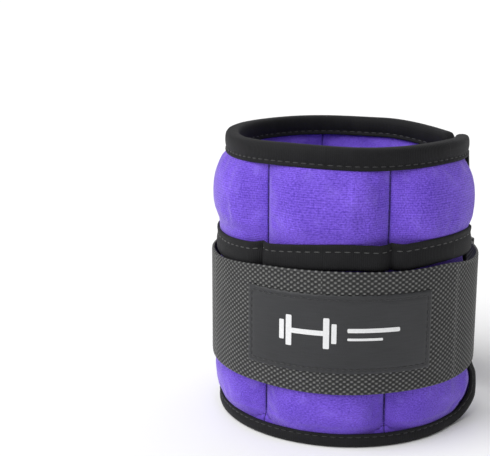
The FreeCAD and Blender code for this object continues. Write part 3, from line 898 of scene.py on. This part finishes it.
def hem_band(name, low, high, seam, nodes):
    """The flap's hem between two angles, pinched at a seam and sunk under the end's tape."""
    length = abs(high - low) * PER_DEGREE * HEM_ARC
    columns = int(length / HEM_STEP)
    rows = len(HEM_SECTION) - 1
    ends_a, ends_e = high == END_A - HEM_INSET, low == END_E + HEM_INSET

    def pinch(angle):
        if seam is None:
            return 0 * angle
        gap = np.abs(angle - seam) * PER_DEGREE * HEM_ARC
        return 1 - crown(gap, 6.5)

    def drop(angle):
        pull = pinch(angle)
        end = 0 * angle
        if ends_a:
            end = ease((angle - high + 9) / 9)
        if ends_e:
            end = ease((low + 9 - angle) / 9)
        return pull, end

    def at(u, v):
        angle = low + (high - low) * u
        radius = np.interp(v * rows, np.arange(rows + 1), HEM_SECTION[:, 0])
        height = np.interp(v * rows, np.arange(rows + 1), HEM_SECTION[:, 1])
        pull, end = drop(angle)
        slack = 0.22 * np.sin(np.radians(angle) * 9 + 0.7)
        height = height + pull * 0.5 + slack * (height < HEM_LOW) - hem_sag(angle)
        return around(angle, radius - 2.6 * pull - 2.9 * end, height)

    piece = cut_cloth(name, columns, rows, at, (length, HEM_WIDE), TAPE)
    close_tube(piece)
    angle = np.linspace(low + (4.0 if ends_e else 0.4), high - (4.0 if ends_a else 0.4), 400)
    pull, end = drop(angle)
    height = HEM_STITCH_Z + pull * 0.5 - hem_sag(angle)
    line = around(angle, 55.02 - 2.6 * pull - 2.9 * end, height)
    row = sew(line, outward_at(angle), 3.5, 2.4, 0.42, 0.36, HEM_THREAD)
    return stands_for(join_into(piece, [row]), "black_edge_tape", *nodes)


for pair, (lower, upper) in PAIRS.items():
    low, high = MIDDLE[lower], MIDDLE[upper]
    nodes = [f"hem_band_{lower}", f"hem_band_{upper}"]
    bend_across(hem_band(f"hem_{pair}", low, high, SEAMS[pair], nodes), pair, 6.0)
for pocket, low, high in (
    ("a", MIDDLE["a"], END_A - HEM_INSET),
    ("e", END_E + HEM_INSET, MIDDLE["e"]),
):
    band = hem_band(f"hem_end_{pocket}", low, high, None, [f"hem_band_{pocket}"])
    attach(band, f"pocket_{pocket}")


# ---------------------------------------------------------------- pocket seams

for pair in PAIRS:
    angle = SEAMS[pair]
    height = np.linspace(3.5, 118.5, 80)
    radius = np.interp(
        height, [3.5, 8, 24, 60, 74, 80, 112, 118.5], [51.3, 50.6, 50.1, 50.1, 49.8, 49.5, 49.5, 49.6]
    )
    line = around(angle, radius, height)
    cord = sew(line, outward_at(np.full(80, angle)), 2.7, 2.8, 0.40, 0.40, SEAM_THREAD)
    cord.name = f"seam_stitching_{pair}"
    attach(cord, f"pocket_{SEWN_TO[pair]}")
    stands_for(cord, "seam_thread", f"seam_{pair}")

    def gusset(u, v, angle=angle):
        side = (u - 0.5) * 11.0
        height = 6.0 + 109.0 * v
        floor = np.interp(height, [6, 12, 105, 115], [50.6, 48.2, 48.2, 48.6])
        return around(angle - side, floor + 0.5 * np.abs(side) / 5.5, height)

    web = cut_cloth(f"seam_web_{pair}", 12, 24, gusset, (9.0, 109.0), JERSEY)
    apply_modifier(web, "SOLIDIFY", thickness=0.6 * MM, offset=-1.0)
    bend_across(web, pair, 4.0)
    stands_for(web, "purple_jersey", f"seam_{pair}")


# ---------------------------------------------------------------- webbing

ROUTE_STEP = 0.5


def arc(first, last, radius):
    """Plan points round the cuff from one angle to another; radius may be a function of angle."""
    count = max(2, int(abs(last - first) * PER_DEGREE * 57 / ROUTE_STEP))
    angle = np.linspace(first, last, count)
    reach = radius(angle) if callable(radius) else np.full(count, float(radius))
    return around(angle, reach, 0.0)[:, :2] / MM


def turn_about(angle, radius, turn_radius, first, last, count=24):
    """Plan points round a ring's bar at an angle and radius, first and last measured from the
    direction round the cuff, clockwise seen from above."""
    centre = around(angle, radius, 0.0)[:2] / MM
    ahead = np.array((math.cos(math.radians(angle)), math.sin(math.radians(angle))))
    out = np.array((math.sin(math.radians(angle)), -math.cos(math.radians(angle))))
    swing = np.radians(np.linspace(first, last, count))
    return centre + turn_radius * (np.outer(np.cos(swing), ahead) + np.outer(np.sin(swing), out))


def edge_drop(flat):
    """The webbing's upper edge sits lower at the sides, where the flap presses on it."""
    angle = np.degrees(np.arctan2(flat[:, 0], AXIS_Y - flat[:, 1]))
    left = 3.2 * ease((-28 - angle) / 40) * ease((angle + 172) / 30)
    return left + 2.8 * ease((angle - 42) / 30) * ease((150 - angle) / 40)


def strap(
    name, route, pitch, rise, relief, thick, bottom, top, material, back_rows, selvedge=0.5, wave=0.0
):
    """Webbing along a plan route, its faces raised where threads float over."""
    steps = np.linalg.norm(np.diff(route, axis=0), axis=1)
    keep = np.concatenate(([True], steps > 1e-6))
    route = route[keep]
    run = np.concatenate(([0.0], np.cumsum(np.linalg.norm(np.diff(route, axis=0), axis=1))))
    length = run[-1]
    columns = int(round(length / pitch * 3))
    front_rows = int(round((top - bottom) / rise * 5))
    levels = np.concatenate((np.linspace(0, 1, front_rows + 1), np.linspace(1, 0, back_rows + 1)))
    faces = np.concatenate((np.ones(front_rows + 1), -np.ones(back_rows + 1)))
    levels, faces = np.append(levels, 0.0), np.append(faces, 1.0)
    rows = len(levels) - 1

    def at(u, v):
        index = np.rint(v * rows).astype(int)
        share, face = levels[index], faces[index]
        here = u * length
        centre = np.stack([np.interp(here, run, route[:, axis]) for axis in (0, 1)], -1)
        ahead = np.stack([
            np.interp(here + 0.4, run, route[:, axis]) - np.interp(here - 0.4, run, route[:, axis])
            for axis in (0, 1)
        ], -1)
        ahead /= np.maximum(np.linalg.norm(ahead, axis=1, keepdims=True), 1e-9)
        out = np.stack((ahead[:, 1], -ahead[:, 0]), -1)
        height = bottom + (top - bottom) * share
        from_edge = np.minimum(share, 1 - share) * (top - bottom)
        plain = ease((from_edge - selvedge) / 0.6)
        across, along = np.pi * here / (2 * pitch), np.pi * height / rise
        even = np.cos(across) ** 2 * np.cos(along) ** 2
        floats = even + np.sin(across) ** 2 * np.sin(along) ** 2
        cut_ends = ease(np.minimum(here, length - here) / 2.0)
        lift = relief * (floats - 0.75) * plain * cut_ends
        edge = np.sqrt(np.clip(1 - (1 - np.clip(from_edge / 0.7, 0, 1)) ** 2, 0.0, 1))
        offset = face * ((thick / 2 - 0.10) * (0.35 + 0.65 * edge) + lift)
        ripple = wave * np.sin(here / 9.0 + 1.0) * (share - 0.5)
        flat = centre + out * offset[:, None]
        ripple = ripple - edge_drop(centre) * share ** 2
        return np.stack((flat[:, 0], flat[:, 1], height + ripple), -1) * MM

    piece = cut_cloth(name, columns, rows, at, (1.0, 1.0), material)
    uv = uv_of(piece)
    level = bottom + (top - bottom) * levels[np.rint(uv[:, 1] * rows).astype(int)]
    set_uv(piece, np.stack((uv[:, 0] * length, level), -1))
    close_tube(piece)
    return piece


ON_PAD = 56.85
WEB = dict(
    pitch=WEB_PITCH, rise=WEB_RISE, relief=0.62, thick=1.7, bottom=STRAP_LOW, top=STRAP_HIGH,
    material=WEBBING, wave=0.35,
)
runs = {
    "webbing_back": ("cd", -134.0, MIDDLE["c"], ["webbing_c", "webbing_d"]),
    "webbing_left": ("bc", MIDDLE["c"], MIDDLE["b"], ["webbing_b", "webbing_c"]),
    "webbing_front": ("ab", MIDDLE["b"], MIDDLE["a"], ["webbing_a", "webbing_b"]),
}
for name, (pair, low, high, nodes) in runs.items():
    piece = strap(name, arc(low, high, ON_PAD), back_rows=12, **WEB)
    bend_across(piece, pair, 9.0)
    stands_for(piece, "grey_webbing", *nodes)


tongue = strap("strap_tongue_webbing", arc(MIDDLE["a"], RING_TONGUE, ON_PAD), back_rows=60, **WEB)
start, end = fold_line(STRAP_HINGE, ON_PAD, 5.0)
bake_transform(tongue)
stands_for(tongue, "grey_webbing", "strap_tongue", "webbing_a")


TAIL_START = 160.2


def tail_radius(angle):
    return 60.15 + 1.65 * ease((angle - 153.0) / 8.0)


fold_route = np.concatenate((
    turn_about(RING_TONGUE, RING_RADIUS, 2.45, -90, 90),
    arc(RING_TONGUE - 0.3, TAIL_START, tail_radius),
))
fold = strap("strap_fold_webbing", fold_route, back_rows=122, **WEB)
start, end = (tuple(around(RING_TONGUE, radius, 49.0)) for radius in (57.6, 61.2))
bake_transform(fold)
stands_for(fold, "grey_webbing", "strap_fold")
tail = strap("strap_tail_webbing", arc(TAIL_START, 107.0, tail_radius), back_rows=122, **WEB)
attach(tail, "tail")
stands_for(tail, "grey_webbing", "strap_tail")


def held_radius(angle):
    inner = ease((-170.2 - angle) / 8.4)
    return ON_PAD + 4.95 * inner


def turned_under(angle):
    return 56.98 - 0.5 * ease((angle + 179) / 5.0)


held_route = np.concatenate((
    arc(-134.0, RING_HELD - 360 + 0.3, held_radius),
    turn_about(RING_HELD, RING_RADIUS, 2.42, 90, 270)[1:-1],
    arc(RING_HELD - 360 + 0.3, -173.4, turned_under),
))
held = strap(
    "ring_holding_tape", held_route, HOLD_PITCH, HOLD_RISE, 0.36, 1.5,
    STRAP_LOW + 0.2, STRAP_HIGH - 0.2, HOLDING, 60, selvedge=3.6,
)
start, end = fold_line(SEAMS["de"], FOLD_RADIUS, 8.0)
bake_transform(held)
bars = []
for place in (-135.6, -138.4):
    line = around(np.full(40, place), 57.75, np.linspace(STRAP_LOW + 2, STRAP_HIGH - 2, 40))
    bars.append(sew(line, outward_at(np.full(40, place)), 2.6, 1.9, 0.5, 0.4, HEM_THREAD))
join_into(held, bars)
stands_for(held, "black_hook_tape", "holding_tape_d", "holding_tape_e")


# ---------------------------------------------------------------- closure patches

def patch(name, low, high, radius, facing, material, body, node):
    """A closure patch between two angles, napped on the side it faces."""
    bottom, top = STRAP_LOW + 2, STRAP_HIGH - 4

    def at(u, v):
        angle = low + (high - low) * (u if facing > 0 else 1 - u)
        edge = np.minimum(np.minimum(u, 1 - u) * 40, np.minimum(v, 1 - v) * 46)
        nap = 0.10 * np.sin(angle * 40) * np.sin(v * 300)
        return around(angle, radius + facing * (0.22 * ease(edge / 1.0) + nap), bottom + (top - bottom) * v)

    length = (high - low) * PER_DEGREE * radius
    piece = cut_cloth(name, int(length / 0.8), 56, at, (length, top - bottom), material)
    apply_modifier(piece, "SOLIDIFY", thickness=SHEET_THICK * MM, offset=-1.0)
    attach(piece, body)
    return stands_for(piece, "closure_patch", node)


patch("soft_loop_patch", 108.0, 159.2, 58.0, 1, LOOPS, "strap", "loop_patch")
patch("hook_tape_patch", 108.0, 140.0, 59.0, -1, HOOKS, "tail", "hook_patch")


# ---------------------------------------------------------------- label

LABEL_LOW, LABEL_HIGH = -40.6, 37.2
LABEL_BOTTOM, LABEL_TOP = 33.0, 65.0
LABEL_FACE = 58.32


LABEL_SEWN = 1.9


def label_thread(line, angle):
    return sew(line, outward_at(angle), 2.7, 1.9, 0.42, 0.34, LABEL_THREAD)


def label_half(name, low, high, pair):
    """The label between two angles, sewn down round its edge."""
    length = (high - low) * PER_DEGREE * LABEL_ARC

    def edge_gap(angle, height):
        sides = np.minimum(angle - LABEL_LOW, LABEL_HIGH - angle) * PER_DEGREE * LABEL_ARC
        return np.minimum(sides, np.minimum(height - LABEL_BOTTOM, LABEL_TOP - height))

    def at(u, v):
        angle = low + (high - low) * u
        height = LABEL_BOTTOM + (LABEL_TOP - LABEL_BOTTOM) * v
        gap = edge_gap(angle, height)
        sewn = np.exp(-((gap - LABEL_SEWN) / 0.7) ** 2)
        pucker = np.cos((angle * 1.012 + height) * 2 * math.pi / 2.7)
        pucker = pucker * np.exp(-((gap - 1.2) / 1.6) ** 2)
        soft = 0.10 * np.sin(angle * 0.13 + 1.0) * np.sin(height * 0.16) * ease(gap / 6)
        radius = LABEL_FACE - 0.42 * (1 - ease(gap / 0.8)) - 0.22 * sewn + 0.05 * pucker + soft
        wobble = 0.12 * np.sin(angle * 1.3) * (1 - ease(gap / 1.5))
        return around(angle, radius, height + wobble)

    piece = cut_cloth(name, int(length / 0.55), 62, at, (length, 32.0), LABEL)
    apply_modifier(piece, "SOLIDIFY", thickness=SHEET_THICK * MM, offset=-1.0)
    bpy.ops.object.shade_smooth_by_angle(angle=CREASE_ANGLE)
    inner, outer = LABEL_LOW + LABEL_SEWN, LABEL_HIGH - LABEL_SEWN
    first, last = max(low, inner), min(high, outer)
    span = np.linspace(first, last, 200)
    on_face = LABEL_FACE - 0.08
    bottom_row, top_row = LABEL_BOTTOM + LABEL_SEWN, LABEL_TOP - LABEL_SEWN
    stitched = [
        label_thread(around(span, on_face, row + 0 * span), span) for row in (bottom_row, top_row)
    ]
    upright = np.full(100, inner if low <= inner else outer)
    rise = np.linspace(bottom_row, top_row, 100)
    stitched.append(label_thread(around(upright, on_face, rise), upright))
    stitching = join_into(stitched[0], stitched[1:])
    stitching.name = stitching.data.name = name.replace("patch", "stitching")
    for part in (piece, stitching):
        bend_across(part, pair, 9.0)
        stands_for(part, "label_satin", "label")
    flat = (length * MM, (LABEL_TOP - LABEL_BOTTOM) * MM)


# A plain printed dumbbell and two rules, each bar as its middle angle, height, width and rise.
DUMBBELL = [
    (-13.5, 49.5, 16.0, 2.0), (-21.0, 49.5, 2.4, 12.5), (-6.0, 49.5, 2.4, 12.5),
    (-24.0, 49.5, 2.0, 8.0), (-3.0, 49.5, 2.0, 8.0),
]
RULES = [(12.4, 51.0, 21.0, 1.7), (9.0, 47.4, 14.0, 1.0)]
PRINT_THICK = 0.25


def printed_mark(name, bars):
    """Raised print on the label: flat bars with rounded corners, laid on its curve."""
    pieces = []
    for angle, height, width, rise in bars:
        bpy.ops.object.select_all(action="DESELECT")
        bpy.ops.mesh.primitive_grid_add(x_subdivisions=10, y_subdivisions=1, size=1)
        bar = bpy.context.object
        bar.scale = (width, rise, 1.0)
        bpy.ops.object.transform_apply(location=False, rotation=False, scale=True)
        bar.data.materials.append(PRINT)
        bpy.ops.object.mode_set(mode="EDIT")
        bpy.ops.mesh.select_all(action="DESELECT")
        bpy.ops.object.mode_set(mode="OBJECT")
        for vertex in bar.data.vertices:
            vertex.select = abs(abs(vertex.co.x) - width / 2) < 1e-4
        bpy.ops.object.mode_set(mode="EDIT")
        bpy.ops.mesh.select_mode(type="VERT")
        bpy.ops.mesh.bevel(offset=min(width, rise) * 0.3, segments=4, affect="VERTICES")
        bpy.ops.object.mode_set(mode="OBJECT")
        flat = points_of(bar)
        turn = angle + np.degrees(flat[:, 0] / LABEL_FACE)
        set_points(bar, around(turn, LABEL_FACE + 0.16, height + flat[:, 1]))
        pieces.append(bar)
    mark = join_into(pieces[0], pieces[1:])
    mark.name = mark.data.name = name
    apply_modifier(mark, "SOLIDIFY", thickness=PRINT_THICK * MM, offset=-1.0)
    return mark


label_half("label_patch_left", LABEL_LOW, MIDDLE["b"], "bc")
label_half("label_patch_right", MIDDLE["b"], LABEL_HIGH, "ab")
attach(printed_mark("label_print_dumbbell", DUMBBELL), "pocket_b")
rules = printed_mark("label_print_rules", RULES)
bend_across(rules, "ab", 9.0)


# ---------------------------------------------------------------- ring, bags and sand

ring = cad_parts["ring"]
ring.data.materials.clear()
ring.data.materials.append(NICKEL)
only(ring)
bpy.ops.object.shade_smooth()

# The bag's section, as radius and height, and how far its ends stop short of a seam and of the
# pad's free end.
BAG_FROM_SEAM, BAG_FROM_END, BAG_MIDDLE = 5.3, 12.2, 49.0
BAG_SECTION = np.array([
    (47.2, 17.6), (49.5, 17.0), (52.0, 17.8), (53.0, 20.5), (53.3, 26.0), (53.5, 38.0), (53.3, 50.0),
    (52.2, 54.0), (50.4, 57.5), (49.9, 61.0), (50.2, 75.0), (50.0, 90.0), (49.6, 96.5), (48.4, 98.2),
    (47.2, 97.6), (46.5, 94.0), (46.2, 80.0), (46.3, 58.0), (46.1, 40.0), (46.2, 24.0), (46.5, 19.5), (47.2, 17.6),
])
for pocket, (low, high) in POCKETS.items():
    first = low + (BAG_FROM_END if pocket == "e" else BAG_FROM_SEAM)
    last = high - (BAG_FROM_END if pocket == "a" else BAG_FROM_SEAM)

    def sack(u, v, first=first, last=last):
        rows = len(BAG_SECTION) - 1
        radius = np.interp(v * rows, np.arange(rows + 1), BAG_SECTION[:, 0])
        height = np.interp(v * rows, np.arange(rows + 1), BAG_SECTION[:, 1])
        end = np.sqrt(np.clip(1 - (np.abs(u - 0.5) * 2) ** 14, 0.0, 1))
        thin = 0.35 + 0.65 * end
        angle = first + (last - first) * u
        sag = 0.18 * np.sin(u * 21 + height * 0.2)
        radius = BAG_MIDDLE + (radius - BAG_MIDDLE) * thin + sag * (end > 0.9)
        return around(angle, radius, height)

    sack_piece = cut_cloth(f"iron_bag_{pocket}", 40, len(BAG_SECTION) - 1, sack, (60.0, 170.0), BAG)
    close_tube(sack_piece)
    apply_modifier(sack_piece, "SUBSURF", levels=1, render_levels=1)
    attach(sack_piece, f"pack_{pocket}")
    stands_for(sack_piece, "bag_cloth", f"weight_bag_{pocket}")
    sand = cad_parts[f"iron_sand_{pocket}"]
    sand.data.materials.clear()
    sand.data.materials.append(IRON)


# ---------------------------------------------------------------- floor, light and camera

bpy.ops.object.select_all(action="DESELECT")
bpy.ops.mesh.primitive_plane_add(size=40.0)
floor = bpy.context.object
floor.name = "floor"
floor.data.materials.append(pale_floor())
floor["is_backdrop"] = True


# The photo's view: from the label's side and a little above, turned so that the cuff stands
# right of the picture's middle.
CAMERA_BACK, CAMERA_UP, CAMERA_DOWN, CAMERA_TURN = 447.7, 181.6, 13.03, 5.54
CAMERA_LENS, CAMERA_SENSOR = 77.1, 36.0


def soft_sun(name, from_point, spread, power):
    """Even light from a far soft lamp; spread is its width in degrees."""
    lamp = bpy.data.lights.new(name, "SUN")
    lamp.angle, lamp.energy = math.radians(spread), power
    holder = bpy.data.objects.new(name, lamp)
    bpy.context.scene.collection.objects.link(holder)
    holder.location = from_point
    holder.rotation_euler = Vector(from_point).to_track_quat("Z", "Y").to_euler()


soft_sun("key", (-0.70, -0.50, 0.90), 58.0, 2.80)
soft_sun("back", (0.10, 0.60, 0.80), 60.0, 0.50)

world = bpy.data.worlds.new("studio")
bpy.context.scene.world = world
world.use_nodes = True
sky = world.node_tree.nodes["Background"]
sky.inputs["Color"].default_value = (1.0, 1.0, 1.0, 1.0)
sky.inputs["Strength"].default_value = 0.40

camera = bpy.data.objects.new("camera", bpy.data.cameras.new("camera"))
bpy.context.scene.collection.objects.link(camera)
camera.location = (0.0, (AXIS_Y - CAMERA_BACK) * MM, CAMERA_UP * MM)
camera.rotation_euler = Euler((math.radians(90 - CAMERA_DOWN), 0.0, math.radians(CAMERA_TURN)))
camera.data.lens = CAMERA_LENS
camera.data.sensor_width = CAMERA_SENSOR
camera.data.clip_start, camera.data.clip_end = 0.02, 20.0
bpy.context.scene.camera = camera
bpy.context.scene.view_settings.view_transform = "Standard"

low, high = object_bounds()
